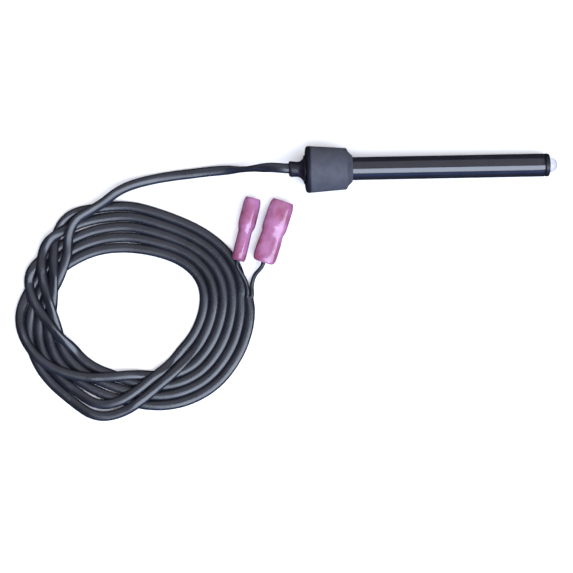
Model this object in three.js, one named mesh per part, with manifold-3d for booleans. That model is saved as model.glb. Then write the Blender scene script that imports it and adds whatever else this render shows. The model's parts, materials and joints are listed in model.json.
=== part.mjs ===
// Flame sensor probe: a photocell in a slim black tube with a glass eye at its tip, a tapered rubber
// stopper that slides along the tube and plugs the burner's sight hole, and a flat two-core lead that
// ends in two insulated push-on terminals.
// Millimetres, +Z up. The probe lies along X on the plane z = 0, resting on the stopper's rear rim and
// on its own tip, with the eye towards +X. The origin is under the middle of the probe.
import * as THREE from "three";
import { mergeVertices } from "three/addons/utils/BufferGeometryUtils.js";
import Module from "manifold-3d";

const wasm = await Module();
wasm.setup();

// ---------- driving dimensions ----------
const facets = 40; // sides of a turned piece
const hiddenFacets = 24; // sides of a turned piece inside the tube
const ferruleFacets = 20; // of a crimp ferrule and the hole that it fits
const gap = 0.3; // between pieces that touch on the real object
const overrun = 1; // how far a cutting shape passes the face it cuts through

// Places along the probe are measured from the rear face of the stopper, towards the eye.
const tube = { radius: 5, bore: 4, length: 103.9 };
const bezel = { bore: 3.4, from: 104.15, to: 106.1, round: 0.6 };
const lens = { radius: 3.15, flange: 3.8, flangeFrom: 102.2, flangeTo: 103.3, tip: 109.8 };
const seal = { ringRadius: 3.55, thickness: 0.56, at: 103.7 };
const stopper = {
  length: 20.2,
  rearRadius: 10.1,
  frontRadius: 8.9,
  noseRadius: 5.9,
  noseLength: 2.3,
  bore: 5.2,
  round: 1.3,
  shoulderRound: 0.5,
  recessRadius: 6.6, // the shallow recess in its rear face clears the boot's flange
  recessDepth: 0.4,
};
const boot = {
  rear: -7.2,
  rearBevel: 0.5,
  neckRadius: 3.3,
  flangeRadius: 6.2,
  flangeThickness: 0.5,
  plugRadius: 3.7,
  plugEnd: 8,
};
const cable = { width: 4.3, thickness: 2.5 }; // the flat sheathed lead
const core = { radius: 0.9, conductor: 0.5, spread: 1.05 }; // one insulated wire of the two
const holder = { from: 86, to: 101.9, radius: 3.75, rearBore: 2.1, frontBore: 2.95, step: 96.9 };
const cell = { radius: 2.7, wall: 0.25, from: 97.3, to: 101.5, eyeRadius: 1.9 };
// The discs inside the photocell's can: distances back from its front face, and radii.
const cellDiscs = {
  photocell_window: { back: 0.9, front: 0.4, radius: 2.3 },
  photocell_element: { back: 2.4, front: 1.6, radius: 2.1 },
  photocell_base: { back: 4.1, front: 3.3, radius: 2.3 },
};
const potting = { from: 8.4, to: 16.4, radius: 3.75 };
const sheathInside = 13.4; // how far the lead's sheath reaches into the tube
const joint = { from: 78.5, to: 90.5, radius: 0.88, bore: 0.68, middle: 83.9 };
const leadWire = 0.23; // radius of the photocell's own wires

// A fully insulated push-on terminal, from its crimped end towards its mouth.
const terminal = {
  length: 28,
  mouthWidth: 10.7,
  mouthHeight: 7.6,
  mouthFrom: 13.5,
  gripWidth: 10.2,
  gripHeight: 6.1,
  round: 1.6,
  wall: 0.9,
};
const clip = {
  width: 7.6,
  height: 2.9,
  sheet: 0.6,
  gapHalf: 0.8,
  from: 13.2,
  to: 26.6,
  neckWidth: 1.6,
  neckLap: 1, // how far the neck reaches into the clip's floor and into the barrel
  neckDrop: 0.15, // and how far it stands below the floor's middle
};
const barrel = { from: 2.4, to: 10.2, radius: 1.35, bore: 0.85 };
const ferrule = { from: 2, to: 10.6, radius: 2.05, bore: 1.6 };
const wireLead = 2; // how far behind a terminal its wire is already in line with it

// Where the lead lies: by hand from the strain relief to the coil, then round the coil.
const freeRoute = [
  [-58.6, 0.1, 10.75],
  [-62, 0.9, 10.5],
  [-66.5, 1.3, 9.3],
  [-72, 1.2, 7.1],
  [-78, 1, 4.9],
  [-85, 0.9, 3.2],
  [-93, 0.5, 2.3],
  [-101, -0.3, 1.9],
  [-109, -1.1, 1.7],
  [-117, -2.3, 1.9],
  [-124, -3.9, 3.2],
  [-130, -6, 4.6],
  [-135, -8.8, 5.4],
  [-139.4, -11.9, 5.5],
];
const coil = {
  centre: [-128.4, -59.1],
  outer: 47.6,
  inner: 28.6,
  height: 7.4,
  round: 3,
  stretch: 1.05, // the coil is a little longer than it is wide
  turn: -12, // degrees, of its long side from X
};
const terminals = {
  a: { at: [-81.3, -38.7, 5.4], heading: 75.1, onEdge: true },
  b: { at: [-70.4, -39.6, 3.85], heading: 70.6, onEdge: false },
};
// The two wires, from the cut end of the sheath at the coil's rim to the terminals.
const wireRoutes = {
  a: [
    [-77.4, -52.2, 2.2],
    [-78.1, -48.2, 2.6],
    [-80, -44.2, 3.9],
  ],
  b: [
    [-75.6, -53.2, 1.6],
    [-75.6, -49.4, 1.8],
    [-74.2, -45.2, 2.7],
  ],
};

// ---------- materials ----------
const finish = (color, roughness, metalness = 0, extra = {}) =>
  new THREE.MeshStandardMaterial({ color, roughness, metalness, ...extra });
const materials = {
  tube: finish(0x15161c, 0.28),
  bezel: finish(0x101116, 0.4),
  rubberGrey: finish(0x5b5e6c, 0.75),
  rubberBlack: finish(0x16171d, 0.6),
  glass: finish(0xe9ecf5, 0.05, 0, { transparent: true, opacity: 0.6 }),
  silicone: finish(0xb9573b, 0.6),
  nylon: finish(0xe6e2d6, 0.5),
  can: finish(0xb9bcc2, 0.3, 1),
  element: finish(0xc98a3c, 0.7),
  tinned: finish(0xc8cbd0, 0.3, 1),
  shrink: finish(0x1b1b1f, 0.6),
  resin: finish(0x24201c, 0.35),
  sheath: finish(0x1c1f27, 0.42),
  core: finish(0x20242c, 0.45),
  copper: finish(0xb87348, 0.35, 1),
  pink: finish(0xd67aa8, 0.3, 0, { transparent: true, opacity: 0.75 }),
  brass: finish(0xc9a65a, 0.35, 1),
};

// ---------- shape helpers ----------
const degrees = THREE.MathUtils.degToRad;
const weldDistance = 1e-4;

// Turns an extrusion to run along X, with its section's X and Y along Y and Z.
const toX = new THREE.Matrix4().makeBasis(
  new THREE.Vector3(0, 1, 0),
  new THREE.Vector3(0, 0, 1),
  new THREE.Vector3(1, 0, 0),
);

function mesh(name, geometry, material) {
  const made = new THREE.Mesh(geometry, material);
  made.name = name;
  return made;
}

// A piece turned round X, from an outline of [place along X, radius].
function turned(outline, sides = facets) {
  const points = outline.map(([x, r]) => new THREE.Vector2(r, x));
  return new THREE.LatheGeometry(points, sides).rotateZ(-Math.PI / 2);
}

// A hollow turned piece: its outline closes on itself.
const hollow = (outline, sides) => turned([...outline, outline[0]], sides);

const rod = (from, to, radius, sides) =>
  turned([[from, 0], [from, radius], [to, radius], [to, 0]], sides);

const pipe = (from, to, radius, bore, sides) =>
  hollow([[from, bore], [from, radius], [to, radius], [to, bore]], sides);

// Points of a round stretch of an outline; angles in degrees, from +X towards a larger radius.
function arc(x, r, radius, from, to, steps = 4) {
  return Array.from({ length: steps + 1 }, (_, i) => {
    const angle = degrees(from + ((to - from) * i) / steps);
    return [x + radius * Math.cos(angle), r + radius * Math.sin(angle)];
  });
}

// A bar along X whose section is a rectangle with rounded corners, width along Y and height along Z.
function bar(from, to, width, height, corner, roundedEnds = 0) {
  const w = width / 2 - roundedEnds;
  const h = height / 2 - roundedEnds;
  const c = Math.min(corner, w, h) - 1e-3;
  const section = new THREE.Shape();
  section.absarc(w - c, h - c, c, 0, Math.PI / 2);
  section.absarc(c - w, h - c, c, Math.PI / 2, Math.PI);
  section.absarc(c - w, c - h, c, Math.PI, Math.PI * 1.5);
  section.absarc(w - c, c - h, c, Math.PI * 1.5, Math.PI * 2);
  const shape = new THREE.ExtrudeGeometry(section, {
    depth: to - from - 2 * roundedEnds,
    curveSegments: 4,
    bevelEnabled: roundedEnds > 0,
    bevelThickness: roundedEnds,
    bevelSize: roundedEnds,
    bevelSegments: 2,
  });
  return shape.translate(0, 0, from + roundedEnds).applyMatrix4(toX);
}

// A tube of that section along a smooth line through the points.
function alongLine(points, section, steps) {
  const line = new THREE.CatmullRomCurve3(points.map((p) => new THREE.Vector3(...p)));
  return new THREE.ExtrudeGeometry(section, { steps, curveSegments: 4, extrudePath: line });
}

function ellipse(width, height) {
  const shape = new THREE.Shape();
  shape.absellipse(0, 0, width / 2, height / 2, 0, Math.PI * 2);
  return shape;
}

function toSolid(geometry) {
  const bare = geometry.clone();
  bare.deleteAttribute("normal");
  bare.deleteAttribute("uv");
  const merged = mergeVertices(bare, weldDistance);
  return new wasm.Manifold(
    new wasm.Mesh({
      numProp: 3,
      vertProperties: merged.attributes.position.array,
      triVerts: new Uint32Array(merged.index.array),
    }),
  );
}

function toGeometry(solid) {
  const made = solid.getMesh();
  const geometry = new THREE.BufferGeometry();
  geometry.setAttribute("position", new THREE.BufferAttribute(made.vertProperties, 3));
  geometry.setIndex(new THREE.BufferAttribute(made.triVerts, 1));
  geometry.computeVertexNormals();
  return geometry;
}

const cut = (geometry, ...tools) =>
  toGeometry(tools.reduce((solid, tool) => solid.subtract(toSolid(tool)), toSolid(geometry)));

const join = (geometry, ...others) =>
  toGeometry(others.reduce((solid, other) => solid.add(toSolid(other)), toSolid(geometry)));

// ---------- the probe's pieces ----------
function tipPieces() {
  const domeCentre = lens.tip - lens.radius;
  return [
    mesh("sensor_tube", pipe(0, tube.length, tube.radius, tube.bore), materials.tube),
    mesh(
      "lens_bezel",
      hollow([
        [bezel.from, bezel.bore],
        [bezel.from, tube.radius],
        ...arc(bezel.to - bezel.round, tube.radius - bezel.round, bezel.round, 90, 0),
        [bezel.to, bezel.bore],
      ]),
      materials.bezel,
    ),
    mesh(
      "tip_lens",
      turned([
        [lens.flangeFrom, 0],
        [lens.flangeFrom, lens.flange],
        [lens.flangeTo, lens.flange],
        [lens.flangeTo, lens.radius],
        ...arc(domeCentre, 0, lens.radius, 90, 9, 8),
        [lens.tip, 0],
      ]),
      materials.glass,
    ),
    mesh(
      "lens_seal",
      hollow(arc(seal.at, seal.ringRadius, seal.thickness / 2, 360, 60, 5), hiddenFacets),
      materials.silicone,
    ),
  ];
}

function photocellPieces() {
  const { radius, wall, from, to, eyeRadius } = cell;
  const discFinish = {
    photocell_window: materials.glass,
    photocell_element: materials.element,
    photocell_base: materials.can,
  };
  return [
    mesh(
      "photocell_can",
      hollow([
        [from, radius - wall],
        [from, radius],
        [to, radius],
        [to, eyeRadius],
        [to - wall, eyeRadius],
        [to - wall, radius - wall],
      ], hiddenFacets),
      materials.can,
    ),
    ...Object.entries(cellDiscs).map(([name, disc]) =>
      mesh(name, rod(to - disc.back, to - disc.front, disc.radius, hiddenFacets), discFinish[name]),
    ),
    mesh(
      "cell_holder",
      hollow([
        [holder.from, holder.rearBore],
        [holder.from, holder.radius],
        [holder.to, holder.radius],
        [holder.to, holder.frontBore],
        [holder.step, holder.frontBore],
        [holder.step, holder.rearBore],
      ], hiddenFacets),
      materials.nylon,
    ),
  ];
}

// Side "a" and side "b" of the wiring inside the tube.
function innerWiring(side, y) {
  const wires = [
    mesh(
      `photocell_lead_${side}`,
      rod(joint.middle + gap, cell.from - gap, leadWire, 8),
      materials.tinned,
    ),
    mesh(
      `joint_sleeve_${side}`,
      pipe(joint.from + gap, joint.to, joint.radius, joint.bore, 12),
      materials.shrink,
    ),
    mesh(`inner_wire_${side}`, rod(sheathInside + gap, joint.from, core.radius, 12), materials.core),
    mesh(
      `inner_conductor_${side}`,
      rod(joint.from + gap, joint.middle, core.conductor, 10),
      materials.copper,
    ),
  ];
  for (const wire of wires) wire.position.y = y;
  return wires;
}

function rearPieces() {
  const { width, thickness } = cable;
  const hole = (from, to) => bar(from, to, width + 2 * gap, thickness + 2 * gap, thickness);
  const neck = boot.neckRadius;
  const flare = boot.flangeRadius - neck;
  const flangeRear = -gap - boot.flangeThickness;
  const bootOutline = [
    [boot.rear, 0],
    [boot.rear, neck - boot.rearBevel],
    [boot.rear + boot.rearBevel, neck],
    // The flare is a quarter round, hollow side out, up to the flange.
    ...arc(flangeRear - flare, boot.flangeRadius, flare, 270, 345, 6),
    [flangeRear, boot.flangeRadius],
    [-gap, boot.flangeRadius],
    [-gap, boot.plugRadius],
    [boot.plugEnd, boot.plugRadius],
    [boot.plugEnd, 0],
  ];
  return [
    mesh(
      "strain_relief_boot",
      cut(turned(bootOutline), hole(boot.rear - overrun, boot.plugEnd + overrun)),
      materials.rubberBlack,
    ),
    mesh(
      "potting_plug",
      cut(
        rod(potting.from, potting.to, potting.radius, hiddenFacets),
        hole(potting.from - overrun, potting.to + overrun),
      ),
      materials.resin,
    ),
    mesh(
      "lead_inner_end",
      bar(boot.rear + gap, sheathInside, width, thickness, thickness),
      materials.sheath,
    ),
  ];
}

function mountingStopper() {
  const { length, rearRadius, frontRadius, noseRadius, noseLength, bore, round } = stopper;
  const { shoulderRound, recessRadius, recessDepth } = stopper;
  const shoulder = length - noseLength;
  const outline = [
    [recessDepth, bore],
    [recessDepth, recessRadius],
    [0, recessRadius],
    ...arc(round, rearRadius - round, round, 180, 90, 5),
    ...arc(shoulder - shoulderRound, frontRadius - shoulderRound, shoulderRound, 86, 30, 3),
    [length, noseRadius],
    [length, bore],
  ];
  return mesh("mounting_stopper", hollow(outline), materials.rubberGrey);
}

function probeGroup() {
  const probe = new THREE.Group();
  probe.add(
    ...tipPieces(),
    ...photocellPieces(),
    ...innerWiring("a", core.spread),
    ...innerWiring("b", -core.spread),
    ...rearPieces(),
    mountingStopper(),
  );
  // It rests on the stopper's rear rim and on the edge of the bezel.
  const rim = { x: stopper.round, r: stopper.rearRadius };
  const tip = { x: bezel.to - bezel.round, r: tube.radius };
  probe.rotation.y = Math.atan((rim.r - tip.r) / (tip.x - rim.x));
  probe.updateMatrixWorld(true);
  const box = new THREE.Box3().setFromObject(probe, true);
  probe.position.set(-(box.min.x + box.max.x) / 2, 0, -box.min.z);
  return probe;
}

// ---------- the lead ----------
function terminalGroup(side, { at, heading, onEdge }) {
  const t = terminal;
  const sleeve = cut(
    join(
      bar(0, t.mouthFrom + 2 * t.round, t.gripWidth, t.gripHeight, t.gripHeight, t.round),
      bar(t.mouthFrom, t.length, t.mouthWidth, t.mouthHeight, t.mouthHeight / 2, t.round),
    ),
    bar(
      t.mouthFrom - overrun,
      t.length + overrun,
      t.mouthWidth - 2 * t.wall,
      t.mouthHeight - 2 * t.wall,
      t.mouthHeight / 2 - t.wall,
    ),
    rod(-overrun, t.mouthFrom, ferrule.radius + gap, ferruleFacets),
  );

  const { width, height, sheet, gapHalf } = clip;
  const w = width / 2;
  const h = height / 2;
  const rails = new THREE.Shape(
    [
      [-w, -h], [w, -h], [w, h], [gapHalf, h], [gapHalf, h - sheet], [w - sheet, h - sheet],
      [w - sheet, sheet - h], [sheet - w, sheet - h], [sheet - w, h - sheet],
      [-gapHalf, h - sheet], [-gapHalf, h], [-w, h],
    ].map(([x, y]) => new THREE.Vector2(x, y)),
  );
  const socket = new THREE.ExtrudeGeometry(rails, { depth: clip.to - clip.from, bevelEnabled: false })
    .translate(0, 0, clip.from)
    .applyMatrix4(toX);
  const neckLength = clip.from - barrel.to + 2 * clip.neckLap;
  const neck = new THREE.BoxGeometry(neckLength, clip.neckWidth, sheet).translate(
    (clip.from + barrel.to) / 2,
    0,
    sheet - h - clip.neckDrop,
  );
  const receptacle = join(pipe(barrel.from, barrel.to, barrel.radius, barrel.bore, 16), neck, socket);

  const group = new THREE.Group();
  group.add(
    mesh(`terminal_sleeve_${side}`, sleeve, materials.pink),
    mesh(`terminal_clip_${side}`, receptacle, materials.tinned),
    mesh(
      `crimp_ferrule_${side}`,
      pipe(ferrule.from, ferrule.to, ferrule.radius, ferrule.bore, ferruleFacets),
      materials.brass,
    ),
    mesh(
      `crimped_strands_${side}`,
      rod(barrel.from - gap, barrel.to - gap, core.conductor, 10),
      materials.copper,
    ),
  );
  group.rotation.set(onEdge ? Math.PI / 2 : 0, 0, degrees(heading), "ZYX");
  group.position.set(...at);
  return group;
}

function coilSolid() {
  const { inner, outer, height, round } = coil;
  // The outline is [height above the floor, radius], and the ring is then stood on its side.
  const ring = hollow(
    [
      ...arc(round, outer - round, round, 180, 90, 3),
      ...arc(height - round, outer - round, round, 90, 0, 3),
      ...arc(height - round, inner + round, round, 360, 270, 3),
      ...arc(round, inner + round, round, 270, 180, 3),
    ],
    48,
  ).rotateY(-Math.PI / 2);
  const made = mesh("lead_coil", ring, materials.sheath);
  made.scale.set(coil.stretch, 1 / coil.stretch, 1);
  made.rotation.z = degrees(coil.turn);
  made.position.set(...coil.centre, 0);
  return made;
}

function leadGroup() {
  const lead = new THREE.Group();
  lead.add(
    mesh("lead_free", alongLine(freeRoute, ellipse(cable.thickness, cable.width), 34), materials.sheath),
    coilSolid(),
  );
  for (const side of ["a", "b"]) {
    const ends = terminals[side];
    const group = terminalGroup(side, ends);
    group.updateMatrixWorld(true);
    const into = [-wireLead, barrel.from - 2 * gap].map((x) =>
      group.localToWorld(new THREE.Vector3(x, 0, 0)).toArray(),
    );
    const route = [...wireRoutes[side], ...into];
    lead.add(
      group,
      mesh(
        `lead_wire_${side}`,
        alongLine(route, ellipse(2 * core.radius, 2 * core.radius), 12),
        materials.core,
      ),
    );
  }
  return lead;
}

const flameSensorProbe = new THREE.Group();
flameSensorProbe.add(probeGroup(), leadGroup());

export default flameSensorProbe;
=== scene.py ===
"""The looks of the flame sensor probe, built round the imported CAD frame. Metres, +Z up."""
import json
import math

import bmesh
import bpy
import numpy as np
from mathutils import Matrix, Vector


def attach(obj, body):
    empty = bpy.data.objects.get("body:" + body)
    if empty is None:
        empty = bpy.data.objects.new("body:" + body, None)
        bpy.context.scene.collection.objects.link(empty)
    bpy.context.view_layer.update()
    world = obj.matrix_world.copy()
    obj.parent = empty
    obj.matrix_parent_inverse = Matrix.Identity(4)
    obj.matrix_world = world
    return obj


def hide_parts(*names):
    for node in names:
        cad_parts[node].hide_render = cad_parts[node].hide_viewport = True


MM = 0.001  # the shapes below are drawn in millimetres and scaled once

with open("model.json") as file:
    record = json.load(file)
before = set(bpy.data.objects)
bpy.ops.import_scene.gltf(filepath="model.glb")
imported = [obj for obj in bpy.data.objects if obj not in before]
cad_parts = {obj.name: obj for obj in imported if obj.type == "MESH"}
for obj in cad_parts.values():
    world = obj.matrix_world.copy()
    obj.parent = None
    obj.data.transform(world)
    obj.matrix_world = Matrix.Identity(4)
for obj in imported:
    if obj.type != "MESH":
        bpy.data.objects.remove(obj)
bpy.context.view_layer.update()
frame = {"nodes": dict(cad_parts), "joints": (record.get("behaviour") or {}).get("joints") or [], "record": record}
nodes = frame["nodes"]
slide = frame["joints"][0]


def points_of(name):
    return np.array([vertex.co for vertex in nodes[name].data.vertices])


# ---------- where the CAD parts lie ----------
TUBE_LENGTH = 103.9
FERRULE_MIDDLE = 6.3  # along a terminal, from its crimped end

probe_axis = Vector(slide["axis"]).normalized()
probe_up = probe_axis.cross(Vector((0, 1, 0))).normalized()
tube_middle = Vector(points_of("sensor_tube").mean(0))
stopper_rear = tube_middle - probe_axis * (TUBE_LENGTH / 2 * MM)


def place(origin, along, across, up):
    """A matrix from a piece's own millimetres to the row frame in metres."""
    turn = Matrix((along, across, up)).transposed().to_4x4()
    return Matrix.Translation(origin) @ turn @ Matrix.Scale(MM, 4)


probe_place = place(stopper_rear, probe_axis, Vector((0, 1, 0)), probe_up)


def terminal_place(side):
    """The frame of one terminal, read from its ferrule's axis and its receptacle's flat side."""
    ferrule = points_of(f"crimp_ferrule_{side}")
    socket = points_of(f"terminal_clip_{side}")
    middle = ferrule.mean(0)
    along = np.linalg.svd(ferrule - middle, full_matrices=False)[2][0]
    if along @ (socket.mean(0) - middle) < 0:
        along = -along
    flat = socket - socket.mean(0)
    flat = flat - np.outer(flat @ along, along)
    across = np.linalg.svd(flat, full_matrices=False)[2][0]
    across = across - along * (across @ along)
    across = Vector(across).normalized()
    along = Vector(along).normalized()
    up = along.cross(across)
    if min(up.z, across.z) < -0.5:  # upside down, lying flat or on its edge
        across, up = -across, -up
    return place(Vector(middle) - along * FERRULE_MIDDLE * MM, along, across, up)


terminal_places = {side: terminal_place(side) for side in "ab"}


# ---------- the camera ----------
VIEW_CENTRE = Vector((-0.0605, -0.0504, 0.005))
VIEW_WIDTH = 0.2493
VIEW_DISTANCE = 0.9
VIEW_ROLL = math.radians(-1.25)


def add_camera():
    data = bpy.data.cameras.new("camera")
    data.sensor_width = 36
    data.lens = data.sensor_width * VIEW_DISTANCE / VIEW_WIDTH
    data.clip_end = 5
    camera = bpy.data.objects.new("camera", data)
    camera.location = VIEW_CENTRE + Vector((0, 0, VIEW_DISTANCE))
    camera.rotation_euler = (0, 0, VIEW_ROLL)
    bpy.context.scene.collection.objects.link(camera)
    bpy.context.scene.camera = camera


add_camera()


# ---------- mesh helpers ----------
def make_piece(name, vertices, faces, sharp=35):
    mesh = bpy.data.meshes.new(name)
    mesh.from_pydata([tuple(v) for v in vertices], [], [tuple(f) for f in faces])
    mesh.validate()
    piece = bpy.data.objects.new(name, mesh)
    bpy.context.scene.collection.objects.link(piece)
    mesh.shade_smooth()
    mesh.set_sharp_from_angle(angle=math.radians(sharp))
    return piece


def rings_to_faces(rings, sides, closed=False):
    """Quads between rings of points; the last ring joins the first where the shape is closed."""
    faces = []
    for ring in range(rings if closed else rings - 1):
        here = ring * sides
        there = (ring + 1) % rings * sides
        for side in range(sides):
            beside = (side + 1) % sides
            faces.append((here + side, here + beside, there + beside, there + side))
    return faces


def end_faces(rings, sides):
    """The two faces that close the ends of a row of rings."""
    return [tuple(range(sides))[::-1], tuple(range((rings - 1) * sides, rings * sides))]


def finish_piece(piece, place_matrix):
    """Puts a piece in its place, with its faces outwards."""
    mesh = piece.data
    mesh.transform(place_matrix)
    work = bmesh.new()
    work.from_mesh(mesh)
    bmesh.ops.recalc_face_normals(work, faces=work.faces)
    work.to_mesh(mesh)
    work.free()
    return piece


def turned(name, outline, place_matrix, sides=96, closed=True, shape=None):
    """A piece turned round X from an outline of (place along X, radius)."""
    vertices = []
    for x, radius in outline:
        for side in range(sides):
            angle = 2 * math.pi * side / sides
            r = radius if shape is None else shape(x, radius, angle)
            vertices.append((x, r * math.cos(angle), r * math.sin(angle)))
    faces = rings_to_faces(len(outline), sides, closed)
    if not closed:
        faces.extend(end_faces(len(outline), sides))
    return finish_piece(make_piece(name, vertices, faces), place_matrix)


def arc(x, r, radius, start, end, steps=6):
    """Points of a round stretch of an outline; degrees, from +X towards a larger radius."""
    angles = np.radians(np.linspace(start, end, steps + 1))
    return [(x + radius * math.cos(a), r + radius * math.sin(a)) for a in angles]


# ---------- the lead's route ----------
LEAD_WIDTH = 4.3
LEAD_THICKNESS = 2.5
CORE_RADIUS = LEAD_THICKNESS / 2  # the sheath's two rounded edges
CORE_SIDE = (LEAD_WIDTH - LEAD_THICKNESS) / 2  # how far each lies from the middle
LEAD_POWER = 2.15  # how square its section is, from 2 for an ellipse
BOOT_END = -7.2  # where the lead leaves the boot, along the probe's axis
BOOT_BEND = 0.6  # how far left of that axis it leaves
LEAD_START = -7.05  # its first station, just inside the boot
STEP = 2.5  # between stations along the lead while it settles
FINE_STEP = 1.0  # between stations of its finished sheath

# From the strain relief to the coil, as in the CAD part.
free_route = [
    (-0.0586, 0.0001, 0.01075),
    (-0.062, 0.0009, 0.0105),
    (-0.0665, 0.0013, 0.0093),
    (-0.072, 0.0012, 0.0071),
    (-0.078, 0.001, 0.0049),
    (-0.085, 0.0009, 0.0032),
    (-0.093, 0.0005, 0.0023),
    (-0.101, -0.0003, 0.0019),
    (-0.109, -0.0011, 0.0017),
    (-0.117, -0.0023, 0.0019),
    (-0.124, -0.0039, 0.0032),
    (-0.130, -0.006, 0.0046),
    (-0.135, -0.0088, 0.0054),
    (-0.1394, -0.0119, 0.0055),
]

# Round the coil, places are in degrees anticlockwise from +X.
COIL_CENTRE = np.array((-126.6, -58.3))
COIL_START = 115
COIL_END = 350 + 5 * 360
COIL_STEP = 5
LANES = 6  # strands side by side, one fewer from the lead's end on to where it comes in
# Degrees past LANE_ZERO between which the sixth lane opens, and closes again.
LANE_ZERO = 60
LANE_OPENS = (25, 75)
LANE_CLOSES = (285, 325)
# The coil's inner and outer edges: mean radius, then (bulges per turn, size, degrees of its crest).
INNER_EDGE = (27.3, ((1, 1.1, 95), (2, 2.5, 16), (3, 0.4, 21), (4, 0.8, 34)))
OUTER_EDGE = (50.2, ((1, 4.6, 218), (2, 3.4, 161), (3, 1.5, 2), (4, 0.5, 12)))
# Where the outermost turns climb over the others to the inner side, the lowest crossing first:
# first and last place, how many cross side by side, and how far they swing out at the start.
CROSSINGS = (
    (100, 174, 1, 0),
    (119, 188, 1, 1.8),
    (137, 202, 1, 1.2),
    (155, 216, 1, 1.0),
    (176, 288, 1, 1.0),
    (243, 322, 2, 1.9),
)
SWING_LAG = 6  # from the start of a crossing to where its swing is widest
SWING_REACH = 13
CLIMB_LEAD = 4  # how far before a crossing its turns are already on top
STACK_HEIGHT = 1.05 * LEAD_THICKNESS  # of a turn above the one it lies on
STACK_ASIDE = 2.6  # how far aside it can lie before it starts to sink
# The lead comes in at this radius and height, and falls in with the turns over a part of one.
ENTRY_RADIUS = 46.8
ENTRY_HEIGHT = 5.4
ENTRY_TURN = 28
SHEATH_END = ((-76.9, -59.4, 1.25), (-77.2, -54.4, 1.25))  # past the last turn


def edge(shape, degrees):
    """The radius of one of the coil's edges at a place round it."""
    mean, bulges = shape
    return mean + sum(size * math.cos(math.radians(n * (degrees - crest))) for n, size, crest in bulges)


def ease(value, start, end):
    """From 0 to 1 between start and end, with a soft start and end."""
    t = min(max((value - start) / (end - start), 0), 1)
    return t * t * (3 - 2 * t)


def lane_shifts():
    """Each change of lane on the way round: first and last place, lanes, swing, rank if it climbs."""
    lane, shifts = LANES - 1, []
    for turn in range(COIL_END // 360 + 1):
        for rank, (first, last, count, swing) in enumerate(CROSSINGS, 1):
            first, last = first + 360 * turn, last + 360 * turn
            if first > COIL_END:
                continue
            climbs = lane >= LANES - count
            change = count - LANES if climbs else count
            shifts.append((first, last, change, swing, rank if climbs else 0))
            lane += change
    return shifts


def radius_and_rank(degrees, shifts):
    """How far from the coil's middle the lead lies, and the rank of the crossing it is in, or 0."""
    lane, swing, rank, midway = LANES - 1, 0, 0, 0
    for first, last, change, out, order in shifts:
        done = ease(degrees, first, last)
        lane += change * done
        swing += out * math.exp(-((degrees - first - SWING_LAG) / SWING_REACH) ** 2)
        if order:
            midway += 4 * done * (1 - done)
            rank = order if first - CLIMB_LEAD < degrees < last else rank
    past = (degrees - LANE_ZERO) % 360
    lanes = LANES - 1 + ease(past, *LANE_OPENS) * (1 - ease(past, *LANE_CLOSES))
    spread = lane / (lanes - 1)
    inner = edge(INNER_EDGE, degrees) + LEAD_WIDTH / 2
    outer = edge(OUTER_EDGE, degrees) - LEAD_WIDTH / 2
    even = inner + spread * (outer - inner)
    # Mixed as curvatures, the radii of a crossing put it on a nearly straight line.
    straight = 1 / ((1 - spread) / inner + spread / outer)
    return even + midway * (straight - even) + swing * max(spread, 0) ** 2, rank


def coil_points():
    """Points round the coil, stacked at each angle: turns on the floor first, then what crosses."""
    shifts = lane_shifts()
    degrees = np.arange(COIL_START, COIL_END + 1, COIL_STEP)
    laid = [radius_and_rank(d, shifts) for d in degrees]
    height = np.full(len(degrees), CORE_RADIUS)
    for local in range(0, 360, COIL_STEP):
        here = [i for i in range(len(degrees)) if degrees[i] % 360 == local]
        here.sort(key=lambda i: laid[i][1])
        for at, i in enumerate(here):
            for j in here[:at] if laid[i][1] else []:
                aside = abs(laid[i][0] - laid[j][0])
                above = height[j] + STACK_HEIGHT * (1 - ease(aside, STACK_ASIDE, LEAD_WIDTH))
                height[i] = max(height[i], above)
    for _ in range(2):  # ease the climbs
        height[1:-1] = (height[:-2] + 2 * height[1:-1] + height[2:]) / 4
    points = []
    for d, (radius, _), z in zip(degrees, laid, height):
        entering = 1 - ease(d, COIL_START, COIL_START + ENTRY_TURN)
        radius += entering * (ENTRY_RADIUS - radius)
        z += entering * max(ENTRY_HEIGHT - z, 0)
        turn = math.radians(d)
        x, y = COIL_CENTRE + radius * np.array((math.cos(turn), math.sin(turn)))
        points.append((x, y, z))
    return [*points, *SHEATH_END]


def smooth_line(points, step):
    """Points a step apart on a smooth curve through the given ones."""
    points = np.asarray(points, float)
    padded = np.vstack([2 * points[0] - points[1], points, 2 * points[-1] - points[-2]])
    fine = []
    for a, b, c, d in zip(padded, padded[1:], padded[2:], padded[3:]):
        for t in np.arange(0, 1, 0.1):
            fine.append(0.5 * (2 * b + (c - a) * t + (2 * a - 5 * b + 4 * c - d) * t * t
                               + (3 * b - a - 3 * c + d) * t ** 3))
    fine = np.array(fine + [points[-1]])
    along = np.concatenate([[0], np.cumsum(np.linalg.norm(np.diff(fine, axis=0), axis=1))])
    places = np.linspace(0, along[-1], max(2, round(along[-1] / step) + 1))
    return np.column_stack([np.interp(places, along, fine[:, k]) for k in range(3)])


# ---------- how the lead settles ----------
ROUNDS = 420
LATE = 0.75  # share of the rounds after which it is hardly pulled back to its route
# Per round: millimetres down, then shares of a correction that one round makes.
SINK = 0.04
PULL = 0.05
LATE_PULL = 0.01
STIFFNESS = 0.4
UNTWIST = 0.01
PUSH = 1.15
MOST_TURN = 0.15  # radians
PAIRS_EVERY = 8  # rounds between two searches for what may touch
PAIRS_SLACK = 1.5
NEIGHBOURS = 8  # stations along the lead that can't touch each other
LEAST_WEIGHT = 0.6  # below which a station's pushes aren't averaged


def tangents_of(line):
    tangent = np.gradient(line, axis=0)
    return tangent / np.linalg.norm(tangent, axis=1)[:, None]


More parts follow.
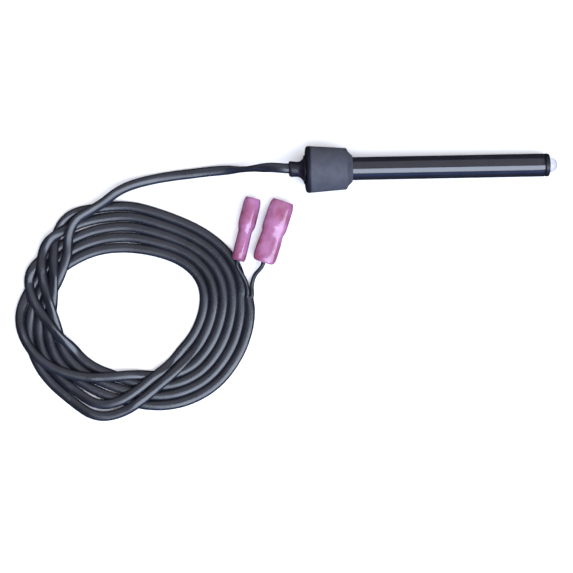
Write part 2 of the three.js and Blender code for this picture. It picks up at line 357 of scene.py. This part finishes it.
def side_vectors(line, roll):
    """The direction of the flat lead's width at each station, and the way a growing roll turns it."""
    tangent = tangents_of(line)
    level = np.cross(tangent, (0, 0, 1.0))
    level /= np.linalg.norm(level, axis=1)[:, None]
    upright = np.cross(level, tangent)
    cos, sin = np.cos(roll)[:, None], np.sin(roll)[:, None]
    return cos * level + sin * upright, cos * upright - sin * level


def near_pairs(line, reach):
    """Stretches of the lead that lie within reach of each other, as two lists."""
    middles = (line[1:] + line[:-1]) / 2
    gaps = np.linalg.norm(middles[:, None] - middles[None], axis=2)
    first, second = np.nonzero(gaps < reach)
    apart = second - first > NEIGHBOURS
    return first[apart], second[apart]


def closest(p, q, r, s):
    """Where two straight stretches p-q and r-s come closest: places along each, and the gap vector."""
    d1, d2, offset = q - p, s - r, p - r
    a, e = (d1 * d1).sum(1), (d2 * d2).sum(1)
    f, c, b = (d2 * offset).sum(1), (d1 * offset).sum(1), (d1 * d2).sum(1)
    u = np.clip((b * f - c * e) / np.maximum(a * e - b * b, 1e-9), 0, 1)
    v = np.clip((b * u + f) / e, 0, 1)
    u = np.clip((b * v - c) / a, 0, 1)
    return u, v, p + u[:, None] * d1 - r - v[:, None] * d2


def keep_lengths(line, lengths, free):
    """Brings neighbours back to their distance along the lead, every other pair at a time."""
    count = len(line)
    for start in (0, 1):
        a, b = np.arange(start, count - 1, 2), np.arange(start + 1, count, 2)
        gap = line[b] - line[a]
        length = np.linalg.norm(gap, axis=1)
        pull = gap * (0.5 * (1 - lengths[a] / length))[:, None]
        line[a] += pull * free[a, None]
        line[b] -= pull * free[b, None]


def kink(values):
    """How far the mean of two neighbours lies from the station between them."""
    return (values[:-2] + values[2:]) / 2 - values[1:-1]


def stiffen(line, roll, target, twist, free):
    """Spreads along the lead what bends or turns away from its route."""
    for _ in range(3):
        line[1:-1] += STIFFNESS * kink(line - target) * free[1:-1, None]
        roll[1:-1] += STIFFNESS * (kink(roll) - kink(twist)) * free[1:-1]


def pushes_apart(edges, first, second):
    """How far each station of the lead's two rounded edges is pushed by what it overlaps."""
    count = len(edges[0])
    push = np.zeros((2, count, 3))
    weight = np.zeros((2, count))
    for one, other in ((0, 0), (0, 1), (1, 0), (1, 1)):
        u, v, gap = closest(edges[one][first], edges[one][first + 1],
                            edges[other][second], edges[other][second + 1])
        distance = np.maximum(np.linalg.norm(gap, axis=1), 1e-6)
        overlap = np.maximum(2 * CORE_RADIUS - distance, 0)
        touching = overlap > 0
        move = gap * (0.5 * overlap / distance)[:, None]
        for body, index, share, sign in ((one, first, u, 1), (other, second, v, -1)):
            for station, part in ((index, 1 - share), (index + 1, share)):
                part = part * touching
                weight[body] += np.bincount(station, part, count)
                for k in range(3):
                    push[body, :, k] += np.bincount(station, sign * part * move[:, k], count)
    push /= np.maximum(weight, LEAST_WEIGHT)[:, :, None]
    for body in (0, 1):  # the floor
        push[body, :, 2] += np.maximum(CORE_RADIUS - edges[body][:, 2] - push[body, :, 2], 0)
    return push


def settle(target, twist, held, rounds):
    """Lets the lead sink onto the floor and onto itself, close to the route it was laid along."""
    line, roll = target.copy(), twist.copy()
    free = 1 - held
    lengths = np.linalg.norm(np.diff(target, axis=0), axis=1)
    for turn in range(rounds):
        if turn % PAIRS_EVERY == 0:
            first, second = near_pairs(line, LEAD_WIDTH + STEP + PAIRS_SLACK)
        line[:, 2] -= SINK * free
        back = LATE_PULL if turn > LATE * rounds else PULL
        line[:, :2] += back * free[:, None] * (target - line)[:, :2]
        keep_lengths(line, lengths, free)
        stiffen(line, roll, target, twist, free)
        side, swing = side_vectors(line, roll)
        push = pushes_apart((line - CORE_SIDE * side, line + CORE_SIDE * side), first, second)
        line += 0.5 * (push[0] + push[1]) * free[:, None] * PUSH
        turn_by = ((push[1] - push[0]) * swing).sum(1) / (2 * CORE_SIDE)
        roll += np.clip(turn_by, -MOST_TURN, MOST_TURN) * free
        roll -= UNTWIST * (roll - twist) * free
    return line, roll


# Where the flat lead is turned: on its edge behind the strain relief, and leaning where it meets
# the coil.
EDGEWISE_TURN = np.radians(82)
EDGEWISE_PLACE = -77
EDGEWISE_REACH = 8
LEANING_TURN = np.radians(22)
LEANING_REACH = 30
# It is held fast up to so far before the coil, and lies free from so far into it.
HELD_BEFORE = 10
FREE_AFTER = 15
END_HELD = (0.6, 0.8, 1, 1)  # the last stations, where the wires leave it


def lead_line():
    """The lead's middle line in millimetres and its roll, from the strain relief to its cut end."""
    free_points = [tuple(c / MM for c in point) for point in free_route]
    entry = probe_place @ Vector((LEAD_START, BOOT_BEND, 0)) / MM
    target = smooth_line([tuple(entry), *free_points[1:], *coil_points()], STEP)
    station = np.arange(len(target))
    in_coil = np.argmax(target[:, 0] < free_points[-1][0])
    held_to = in_coil - round(HELD_BEFORE / STEP)
    free_from = in_coil + round(FREE_AFTER / STEP)
    held = np.zeros(len(target))
    held[:held_to] = 1
    held[held_to:free_from] = np.linspace(1, 0, free_from - held_to)
    held[-len(END_HELD):] = END_HELD
    edgewise = EDGEWISE_TURN * np.exp(-((target[:, 0] - EDGEWISE_PLACE) / EDGEWISE_REACH) ** 2)
    leaning = LEANING_TURN * np.exp(-((station - in_coil) * STEP / LEANING_REACH) ** 2)
    twist = np.where(station < in_coil, edgewise, 0) + leaning
    return settle(target, twist, held, ROUNDS)


def sweep(name, line, section, roll=None):
    """A solid of a section along a line, both ends closed; all in millimetres."""
    roll = np.zeros(len(line)) if roll is None else roll
    side, lift = side_vectors(line, roll)
    sides = len(section)
    vertices = []
    for centre, across, up in zip(line, side, lift):
        vertices.extend(centre + across * x + up * y for x, y in section)
    faces = rings_to_faces(len(line), sides) + end_faces(len(line), sides)
    return finish_piece(make_piece(name, vertices, faces, 50), Matrix.Scale(MM, 4))


def lobed_section(width, height, power, sides=24):
    """A rounded outline between an ellipse (power 2) and a rectangle, as points of (across, up)."""
    points = []
    for turn in np.linspace(0, 2 * math.pi, sides, endpoint=False):
        c, s = math.cos(turn), math.sin(turn)
        radius = (abs(2 * c / width) ** power + abs(2 * s / height) ** power) ** (-1 / power)
        points.append((radius * c, radius * s))
    return points


def round_section(radius, sides=16):
    return [(radius * math.cos(a), radius * math.sin(a))
            for a in np.linspace(0, 2 * math.pi, sides, endpoint=False)]


def refine(line, roll, step):
    """The settled line and roll on a smooth curve with shorter steps."""
    fine = smooth_line(line, step)
    return fine, np.interp(np.linspace(0, 1, len(fine)), np.linspace(0, 1, len(roll)), roll)


lead_middle, lead_roll = refine(*lead_line(), FINE_STEP)
lead_section = lobed_section(LEAD_WIDTH, LEAD_THICKNESS, LEAD_POWER)
lead = sweep("sheathed_lead", lead_middle, lead_section, lead_roll)


# ---------- the two wires past the sheath's end ----------
WIRE_RADIUS = 0.9
WIRE_ASIDE = {"a": -1.02, "b": 1.02}  # of the lead's middle, inside its sheath
WIRE_INSIDE = slice(-15, -1, 4)  # the lead's stations that each wire passes
WIRE_STEP = 0.8
# Places along a terminal that a wire passes: before its crimped end, and where the insulation ends.
WIRE_APPROACH = -2
BARREL_MOUTH = 2.1
wire_routes = {
    "a": [(-0.0774, -0.0522, 0.0022), (-0.0781, -0.0482, 0.0026), (-0.080, -0.0442, 0.0039)],
    "b": [(-0.0756, -0.0532, 0.0016), (-0.0756, -0.0494, 0.0018), (-0.0742, -0.0452, 0.0027)],
}


def wire_line(which):
    """A wire's middle line in millimetres, from inside the sheath to its terminal."""
    side, _ = side_vectors(lead_middle, lead_roll)
    inside = (lead_middle + side * WIRE_ASIDE[which])[WIRE_INSIDE]
    route = [tuple(c / MM for c in point) for point in wire_routes[which]]
    into = [terminal_places[which] @ Vector((x, 0, 0)) / MM for x in (WIRE_APPROACH, BARREL_MOUTH)]
    return smooth_line([*map(tuple, inside), *route, *map(tuple, into)], WIRE_STEP)


wire_lines = {which: wire_line(which) for which in "ab"}
wires = {
    which: sweep(f"lead_wire_{which}_insulation", line, round_section(WIRE_RADIUS))
    for which, line in wire_lines.items()
}
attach(lead, "probe")
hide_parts("lead_free", "lead_coil")


# ---------- the two terminals ----------
SLEEVE_POWER = 2.5  # how square the sleeves' sections are
# Along a sleeve from its crimped end: place, width, height.
sleeve_stations = [
    # its rounded rim
    (1.6, 5.0, 5.0), (0.35, 5.3, 5.2), (0, 6.6, 4.9), (0.25, 8.4, 5.5), (0.9, 9.6, 5.9),
    # outside: round the barrel, a waist, then round the receptacle
    (1.9, 10.1, 6.1), (4, 10.3, 6.1), (8, 10.2, 6.05), (11, 9.8, 5.9), (12.6, 9.5, 5.9),
    (13.6, 9.7, 6.2), (14.6, 10.3, 6.9), (15.6, 10.7, 7.4), (17, 10.8, 7.6), (21, 10.7, 7.6),
    (25, 10.5, 7.5), (26.6, 10.1, 7.2), (27.6, 9.4, 6.6), (28, 8.7, 6.0),
    # back inside: wide round the receptacle, narrow round the barrel
    (27.7, 8.4, 5.7), (25, 8.8, 5.8), (15, 8.8, 5.8), (13.8, 5.0, 4.8), (8, 4.7, 4.7),
]
SOCKET = {"width": 7.6, "height": 2.9, "sheet": 0.5, "start": 13.2, "end": 26.6}
BARREL = {"start": 2.4, "end": 10.2, "radius": 1.35, "bore": 0.85}
FERRULE = {"start": 2, "end": 10.6, "radius": 2.05, "bore": 1.6}
CURL = 0.15  # how far the tips of the rolled edges reach in
PIPE_EASE = 0.12  # the bevel of a pipe's edges
NECK_HALF = 0.8  # half the width of the strip from a socket to its barrel
NECK_LIFT = 0.05  # of that strip above the socket's floor
NECK_OVERLAP = 1  # with the socket and the barrel


def lofted(name, stations, power, place_matrix, sides=48):
    """A hollow piece through lobed sections along X; the last one joins the first."""
    vertices = []
    for x, width, height in stations:
        vertices.extend((x, y, z) for y, z in lobed_section(width, height, power, sides))
    faces = rings_to_faces(len(stations), sides, True)
    return finish_piece(make_piece(name, vertices, faces), place_matrix)


def strip_section(path, sheet):
    """The outline of a bent strip of sheet, from its middle line."""
    path = np.array(path)
    run = np.gradient(path, axis=0)
    run /= np.linalg.norm(run, axis=1)[:, None]
    out = np.column_stack([run[:, 1], -run[:, 0]]) * sheet / 2
    return [*map(tuple, path + out), *map(tuple, (path - out)[::-1])]


def rolled_path(width, height, sheet):
    """The middle line of a socket's section: a flat floor with both edges rolled over inwards."""
    roll = (height - sheet) / 2
    half = width / 2 - sheet / 2 - roll
    right = arc(half, 0, roll, -90, 180, 15)
    right[-3:] = [(x, y - CURL) for x, y in right[-3:]]
    left = [(-x, y) for x, y in right[::-1]]
    floor = [(x, -roll) for x in np.linspace(-half, half, 6)[1:-1]]
    return [*left, *floor, *right]


def prism(section, start, end, places=8):
    """Vertices and faces of a section drawn out along X."""
    vertices = [(x, y, z) for x in np.linspace(start, end, places) for y, z in section]
    return vertices, rings_to_faces(places, len(section)) + end_faces(places, len(section))


def tube_wall(start, end, radius, bore, sides=32):
    """Vertices and faces of a pipe along X with bevelled edges."""
    outline = [
        (start, bore + PIPE_EASE), (start, radius - PIPE_EASE), (start + PIPE_EASE, radius),
        (end - PIPE_EASE, radius), (end, radius - PIPE_EASE), (end, bore + PIPE_EASE),
        (end - PIPE_EASE, bore), (start + PIPE_EASE, bore),
    ]
    turns = np.linspace(0, 2 * math.pi, sides, endpoint=False)
    vertices = [(x, r * math.cos(a), r * math.sin(a)) for x, r in outline for a in turns]
    return vertices, rings_to_faces(len(outline), sides, True)


def joined(name, shells, place_matrix):
    """One piece from several closed shells, each given as vertices and faces."""
    vertices, faces = [], []
    for shell_vertices, shell_faces in shells:
        base = len(vertices)
        vertices.extend(shell_vertices)
        faces.extend(tuple(base + i for i in face) for face in shell_faces)
    return finish_piece(make_piece(name, vertices, faces), place_matrix)


def socket_shells():
    """A stamped push-on socket: the folded receptacle, the neck behind it and the crimp barrel."""
    sheet, height = SOCKET["sheet"], SOCKET["height"]
    fold = strip_section(rolled_path(SOCKET["width"], height, sheet), sheet)
    low = NECK_LIFT - height / 2
    high = low + sheet
    neck = [(-NECK_HALF, low), (-NECK_HALF, high), (NECK_HALF, high), (NECK_HALF, low)]
    return [
        prism(fold, SOCKET["start"], SOCKET["end"]),
        prism(neck, BARREL["end"] - NECK_OVERLAP, SOCKET["start"] + NECK_OVERLAP),
        tube_wall(**BARREL),
    ]


def add_terminal(side):
    where = terminal_places[side]
    sleeve = lofted(f"insulating_sleeve_{side}", sleeve_stations, SLEEVE_POWER, where)
    socket = joined(f"push_on_socket_{side}", socket_shells(), where)
    ferrule = joined(f"crimp_ring_{side}", [tube_wall(**FERRULE)], where)
    stands_for = {sleeve: "terminal_sleeve", socket: "terminal_clip", ferrule: "crimp_ferrule"}
    for piece, node in stands_for.items():
        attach(piece, "probe")
        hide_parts(f"{node}_{side}")
    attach(wires[side], "probe")
    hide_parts(f"lead_wire_{side}")
    return sleeve, socket, ferrule


terminals = {side: add_terminal(side) for side in "ab"}


# ---------- the probe ----------
# Outlines are pairs of a place along the probe and a radius, from the inside out and back.
TUBE_RADIUS = 5.0
TUBE_BORE = 4.0
BEZEL_ROUND = 0.7
EYE_RADIUS = 3.15
EYE_CENTRE = 106.65  # of its dome
STOPPER_LENGTH = 20.2
STOPPER_RADIUS = 10.1
STOPPER_BORE = 5.2
STOPPER_RECESS = 0.4
STOPPER_TAPER = 0.0725  # radius lost per length
RIM_ROUND = 1.3
NOSE_ROUND = 0.78
PARTING_HEIGHT = 0.09
PARTING_WIDTH = 0.03  # as a sine round the stopper
PARTING_FROM = 6.8  # the radius from which its outside has a parting line
FOOT_START = -0.8
FOOT_RADIUS = 6.2
FLARE_ROUND = 2.9
NECK_RADIUS = 3.3
BOOT_HOLE = (4.9, 3.1)  # round the lead
BOOT_HOLE_POWER = 4
HOLE_EASE = 0.2  # how much wider its mouth is
BOOT_LUMP = (-6.3, -0.3, 1.0, 0.5)  # place along the neck, turn round it, reach and height
LUMP_BEFORE = -1


def add_tube():
    end = TUBE_LENGTH
    outline = [
        (0.2, TUBE_BORE), (0, 4.2), (0, 4.8), (0.2, TUBE_RADIUS),
        *[(x, TUBE_RADIUS) for x in np.linspace(4, 100, 25)],
        (end - 0.3, TUBE_RADIUS), (end - 0.08, 4.9), (end, 4.7), (end, 4.2), (end - 0.2, TUBE_BORE),
    ]
    return turned("glossy_tube", outline, probe_place)


def add_bezel():
    outline = [
        (104.3, 3.4), (104.15, 3.55), (104.15, 4.75), (104.25, 4.93), (104.4, TUBE_RADIUS),
        *arc(105.4, TUBE_RADIUS - BEZEL_ROUND, BEZEL_ROUND, 90, 0),
        (106.1, 3.75), (105.95, 3.45), (105.7, 3.4),
    ]
    return turned("tip_ring", outline, probe_place)


def add_eye():
    outline = [
        (102.2, 0.1), (102.2, 3.7), (102.3, 3.8), (103.2, 3.8), (103.3, 3.7), (103.3, 3.2),
        (103.4, EYE_RADIUS),
        *arc(EYE_CENTRE, 0, EYE_RADIUS, 90, 4, 16),
    ]
    return turned("glass_eye", outline, probe_place, closed=False)


def add_stopper():
    end = STOPPER_LENGTH
    outline = [
        (0.55, STOPPER_BORE), (STOPPER_RECESS, 5.35), (STOPPER_RECESS, 6.35), (0.25, 6.55), (0, 6.7),
        *arc(RIM_ROUND, STOPPER_RADIUS - RIM_ROUND, RIM_ROUND, 180, 92, 8),
        *[(x, STOPPER_RADIUS - (x - RIM_ROUND) * STOPPER_TAPER) for x in np.linspace(2, 16.6, 12)],
        *arc(end - 3, 8.2, NOSE_ROUND, 84, 35, 5),
        (18.6, 7.2), (19.6, 6.3), (20.0, 5.95), (end, 5.7), (end, 5.4), (20.0, STOPPER_BORE),
    ]

    def parting_line(x, radius, angle):
        near = math.exp(-(math.sin(angle) / PARTING_WIDTH) ** 2)
        return radius + (PARTING_HEIGHT * near if radius > PARTING_FROM else 0)

    return turned("grey_stopper", outline, probe_place, sides=144, shape=parting_line)


def boot_outline():
    flare = [
        (FOOT_START - FLARE_ROUND + FLARE_ROUND * math.sin(a), FOOT_RADIUS - FLARE_ROUND * math.cos(a))
        for a in np.radians(np.arange(0, 80, 8))
    ]
    return [
        # the hole round the lead, the neck's end and the neck
        (-6.9, 0), (BOOT_END, HOLE_EASE), (BOOT_END, 2.75), (-7.05, 3.05), (-6.7, 3.25),
        *[(x, NECK_RADIUS) for x in (-6, -5.2, -4.5)],
        *flare,
        # the foot
        (FOOT_START, 5.9), (-0.75, 6.1), (-0.6, FOOT_RADIUS), (-0.4, FOOT_RADIUS), (-0.3, 6.1),
        # the plug inside the tube
        (-0.3, 3.7), (7.8, 3.7), (8, 3.5), (8, 0),
    ]


def hole_and_lump(x, radius, angle):
    """The boot's radius: its inner edge follows the lead's section, and its neck has a small lump."""
    if radius <= HOLE_EASE:  # counted from the lead's section
        width, height = BOOT_HOLE
        c, s = abs(2 * math.cos(angle) / width), abs(2 * math.sin(angle) / height)
        return radius + (c ** BOOT_HOLE_POWER + s ** BOOT_HOLE_POWER) ** (-1 / BOOT_HOLE_POWER)
    if x > LUMP_BEFORE:
        return radius
    at, turn, reach, height = BOOT_LUMP
    around = NECK_RADIUS * math.sin((angle - math.pi - turn) / 2) * 2
    return radius + height * math.exp(-((x - at) ** 2 + around ** 2) / reach ** 2)


def add_boot():
    piece = turned("flared_boot", boot_outline(), probe_place, shape=hole_and_lump)
    to_local = probe_place.inverted()
    for vertex in piece.data.vertices:  # the neck bends a little to the left with the lead
        behind = max((to_local @ vertex.co).x / BOOT_END, 0)
        vertex.co.y += BOOT_BEND * MM * behind ** 2
    return piece


probe_pieces = {
    "sensor_tube": add_tube(),
    "lens_bezel": add_bezel(),
    "tip_lens": add_eye(),
    "strain_relief_boot": add_boot(),
}
for node, piece in probe_pieces.items():
    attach(piece, "probe")
    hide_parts(node)
stopper = add_stopper()
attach(stopper, "stopper")
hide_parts("mounting_stopper")


# ---------- materials ----------
NOISE_LOW, NOISE_HIGH = 0.3, 0.7  # most of a noise's values lie between these


class Recipe:
    """A material whose colour, gloss and fine relief all come from noise in the piece's own space."""

    def __init__(self, name, **values):
        self.material = bpy.data.materials.new(name)
        self.material.use_nodes = True
        self.tree = self.material.node_tree
        self.shader = self.tree.nodes["Principled BSDF"]
        for socket, value in values.items():
            self.shader.inputs[socket.replace("_", " ")].default_value = value
        self.space = self.tree.nodes.new("ShaderNodeTexCoord").outputs["Object"]

    def link(self, source, target):
        self.tree.links.new(source, target)

    def noise(self, grain, detail=3):
        node = self.tree.nodes.new("ShaderNodeTexNoise")
        node.inputs["Scale"].default_value = grain
        node.inputs["Detail"].default_value = detail
        self.link(self.space, node.inputs["Vector"])
        return node.outputs["Fac"]

    def ramp(self, value, *stops):
        """Colours at places from 0 to 1 along a value."""
        node = self.tree.nodes.new("ShaderNodeValToRGB")
        ramp = node.color_ramp
        while len(ramp.elements) < len(stops):
            ramp.elements.new(0.5)
        for element, (place_at, colour) in zip(ramp.elements, stops):
            element.position = place_at
            element.color = (*colour, 1)
        self.link(value, node.inputs["Fac"])
        return node.outputs["Color"]

    def spread(self, value, low, high, start=NOISE_LOW, end=NOISE_HIGH):
        """A value between start and end, mapped to between low and high."""
        node = self.tree.nodes.new("ShaderNodeMapRange")
        for socket, number in zip(("From Min", "From Max", "To Min", "To Max"), (start, end, low, high)):
            node.inputs[socket].default_value = number
        self.link(value, node.inputs["Value"])
        return node.outputs["Result"]

    def colour(self, source):
        self.link(source, self.shader.inputs["Base Color"])

    def gloss(self, low, high, grain):
        self.link(self.spread(self.noise(grain), low, high), self.shader.inputs["Roughness"])

    def relief(self, grain, depth, detail=3):
        """Fine relief of a depth in metres."""
        node = self.tree.nodes.new("ShaderNodeBump")
        node.inputs["Distance"].default_value = depth
        self.link(self.noise(grain, detail), node.inputs["Height"])
        self.link(node.outputs["Normal"], self.shader.inputs["Normal"])


def mottled(name, dark, light, grain, rough, relief=(3000, 0.00001), **values):
    """A material between two colours in patches of a grain, with a range of roughness and a relief."""
    recipe = Recipe(name, **values)
    recipe.colour(recipe.ramp(recipe.noise(grain), (NOISE_LOW, dark), (NOISE_HIGH, light)))
    recipe.gloss(*rough, grain * 0.7)
    recipe.relief(*relief)
    return recipe.material


RIM_SHADE_TO = (1.9, 2.7)  # where the painted shade on the stopper's rear rim fades into its grey


def stopper_material():
    """Grey rubber, with painted shade close to black along the rear rim, where its rear face turns away from the
    light.
    """
    recipe = Recipe("rubber_grey_rim_shade", Specular_IOR_Level=0.35)
    fade = [stopper_rear.x + place_at * MM for place_at in RIM_SHADE_TO]
    apart = recipe.tree.nodes.new("ShaderNodeSeparateXYZ")
    recipe.link(recipe.space, apart.inputs["Vector"])
    inward = recipe.spread(apart.outputs["X"], 0, 1, *fade)
    mix = recipe.tree.nodes.new("ShaderNodeMix")
    mix.data_type = "RGBA"
    # painted shade: near-black colour on the rear rim, standing in for its rear face in shadow
    mix.inputs["A"].default_value = (0.005, 0.005, 0.011, 1)
    recipe.link(inward, mix.inputs["Factor"])
    dark, light = (0.045, 0.047, 0.064), (0.056, 0.06, 0.08)
    grey = recipe.ramp(recipe.noise(260, 4), (NOISE_LOW, dark), (NOISE_HIGH, light))
    recipe.link(grey, mix.inputs["B"])
    recipe.colour(mix.outputs["Result"])
    recipe.gloss(0.55, 0.75, 500)
    recipe.relief(1600, 0.00003, detail=4)
    return recipe.material


pink = {"Transmission_Weight": 0.35, "IOR": 1.46, "Coat_Weight": 0.7, "Coat_Roughness": 0.12}
glass = {"Transmission_Weight": 0.8, "IOR": 1.45}
metal = {"Metallic": 1.0}
looks = {
    "tube_black": mottled("tube_gloss", (0.007, 0.0075, 0.012), (0.012, 0.0125, 0.018), 90,
                          (0.16, 0.24), (700, 0.000004), Coat_Weight=1.0, Coat_Roughness=0.1),
    "bezel_black": mottled("ring_satin", (0.005, 0.005, 0.008), (0.009, 0.009, 0.014), 400,
                           (0.35, 0.45)),
    "lens_glass": mottled("eye_glass", (0.86, 0.87, 0.96), (0.95, 0.95, 1.0), 300,
                          (0.12, 0.2), (1500, 0.000004), **glass),
    "window_glass": mottled("window_glass", (0.8, 0.84, 0.9), (0.92, 0.95, 1.0), 500,
                            (0.05, 0.1), **glass),
    "seal_silicone": mottled("seal_silicone", (0.4, 0.11, 0.06), (0.52, 0.17, 0.1), 900,
                             (0.5, 0.65)),
    "can_metal": mottled("can_nickel", (0.5, 0.51, 0.54), (0.66, 0.67, 0.7), 900,
                         (0.2, 0.34), **metal),
    "cell_ceramic": mottled("cell_layer", (0.45, 0.2, 0.05), (0.75, 0.42, 0.16), 1200,
                            (0.5, 0.7)),
    "holder_nylon": mottled("holder_nylon", (0.72, 0.69, 0.6), (0.84, 0.81, 0.73), 500,
                            (0.4, 0.55)),
    "tinned_metal": mottled("tin_plate", (0.58, 0.59, 0.62), (0.76, 0.77, 0.8), 700,
                            (0.18, 0.34), **metal),
    "shrink_black": mottled("shrink_sleeve", (0.02, 0.02, 0.023), (0.035, 0.035, 0.04), 800,
                            (0.45, 0.6)),
    "wire_insulation": mottled("wire_black", (0.007, 0.008, 0.012), (0.014, 0.016, 0.022), 500,
                               (0.3, 0.42)),
    "copper": mottled("copper_strands", (0.55, 0.24, 0.12), (0.8, 0.42, 0.25), 2500,
                      (0.25, 0.4), (6000, 0.00006), **metal),
    "boot_rubber": mottled("rubber_black", (0.006, 0.005, 0.01), (0.011, 0.01, 0.018), 500,
                           (0.34, 0.46), (1500, 0.00002)),
    "resin": mottled("potting_resin", (0.03, 0.022, 0.016), (0.06, 0.045, 0.035), 300,
                     (0.2, 0.35)),
    "lead_sheath": mottled("sheath_charcoal", (0.006, 0.0066, 0.01), (0.012, 0.0132, 0.02), 120,
                           (0.24, 0.34), (900, 0.00002), Specular_IOR_Level=0.85),
    "stopper_rubber": stopper_material(),
    "terminal_pink": mottled("sleeve_pink", (0.3, 0.065, 0.13), (0.56, 0.25, 0.5), 120,
                             (0.1, 0.2), (900, 0.00002), **pink),
    "ferrule_brass": mottled("ring_brass", (0.6, 0.43, 0.16), (0.78, 0.6, 0.3), 900,
                             (0.22, 0.36), **metal),
}
slots = {
    lead: "lead_sheath",
    wires["a"]: "wire_insulation",
    wires["b"]: "wire_insulation",
    stopper: "stopper_rubber",
    probe_pieces["sensor_tube"]: "tube_black",
    probe_pieces["lens_bezel"]: "bezel_black",
    probe_pieces["tip_lens"]: "lens_glass",
    probe_pieces["strain_relief_boot"]: "boot_rubber",
}
for sleeve, socket, ferrule in terminals.values():
    slots.update({sleeve: "terminal_pink", socket: "tinned_metal", ferrule: "ferrule_brass"})
for piece, slot in slots.items():
    piece.data.materials.append(looks[slot])
for subpart in frame["record"]["subparts"]:
    mesh = nodes[subpart["node"]].data
    mesh.materials.clear()
    mesh.materials.append(looks[subpart["material_slot"]])


# ---------- floor and light ----------
FLOOR_REACH = 3


def add_stage():
    reach = FLOOR_REACH
    corners = [(-reach, -reach, 0), (reach, -reach, 0), (reach, reach, 0), (-reach, reach, 0)]
    floor = make_piece("floor", corners, [(0, 1, 2, 3)])
    paper = mottled("floor_paper", (0.93, 0.93, 0.94), (0.96, 0.96, 0.965), 30,
                    (0.85, 0.95), (300, 0.00001))
    floor.data.materials.append(paper)
    floor.visible_glossy = False


def add_area(name, location, aim, size, power, colour=(1, 1, 1)):
    data = bpy.data.lights.new(name, "AREA")
    data.shape = "RECTANGLE"
    data.size, data.size_y = size
    data.energy = power
    data.color = colour
    light = bpy.data.objects.new(name, data)
    light.location = location
    light.rotation_euler = (Vector(aim) - Vector(location)).to_track_quat("-Z", "Y").to_euler()
    bpy.context.scene.collection.objects.link(light)
    return light


def add_lights():
    world = bpy.data.worlds.new("studio")
    world.use_nodes = True
    background = world.node_tree.nodes["Background"]
    background.inputs["Color"].default_value = (0.6, 0.65, 1, 1)
    background.inputs["Strength"].default_value = 0.06
    bpy.context.scene.world = world
    add_area("key", (0.75, -0.72, 1.25), (0.75, 0, 0), (2.0, 1.2), 44, (0.74, 0.83, 1))
    add_area("sky", (-0.05, 0.85, 1.25), (-0.05, 0, 0), (2.2, 2.0), 7.5, (0.93, 0.92, 1))
    add_area("front", (-0.05, -1.6, 0.4), (-0.05, 0, 0.1), (2.4, 0.8), 5, (0.15, 0.3, 1))
    # Keeps the floor white and the shadows faint, without a reflection of its own.
    fill = add_area("fill", (-0.05, -0.05, 1.7), (-0.05, -0.05, 0), (3.2, 3.2), 49)
    fill.visible_glossy = False


add_stage()
add_lights()
bpy.context.scene.view_settings.view_transform = "Standard"
